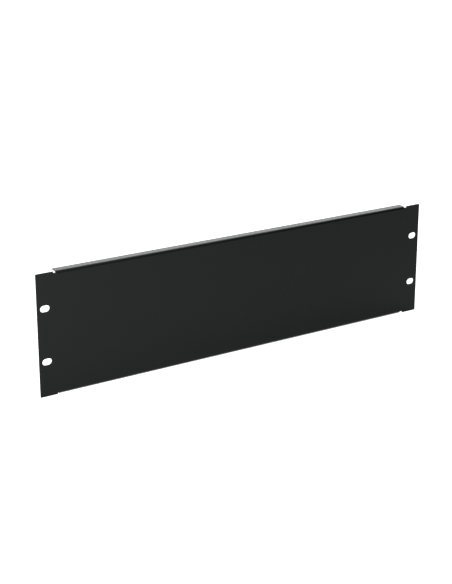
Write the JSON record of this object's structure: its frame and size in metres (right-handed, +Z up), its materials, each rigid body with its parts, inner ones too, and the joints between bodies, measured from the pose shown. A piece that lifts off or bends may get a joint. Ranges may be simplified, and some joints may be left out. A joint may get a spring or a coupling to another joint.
{
  "type": "rack blanking panel",
  "caption": "Folded sheet-steel panel that closes an empty bay of a 19-inch equipment rack, with flanged long edges and slotted ears for the rack's screws.",
  "frame": {"origin": "centre of the screw slots, on the rear faces of the ears, where they seat on the rack's rails", "axes": "+X along the panel to the right as seen from the front, +Y from the front face back into the rack, +Z up"},
  "size_m": [0.4826, 0.01, 0.1324],
  "materials": {
    "powder_coat": "satin black powder coat"
  },
  "bodies": {
    "root": {"blanking_panel": "powder_coat"}
  },
  "joints": []
}
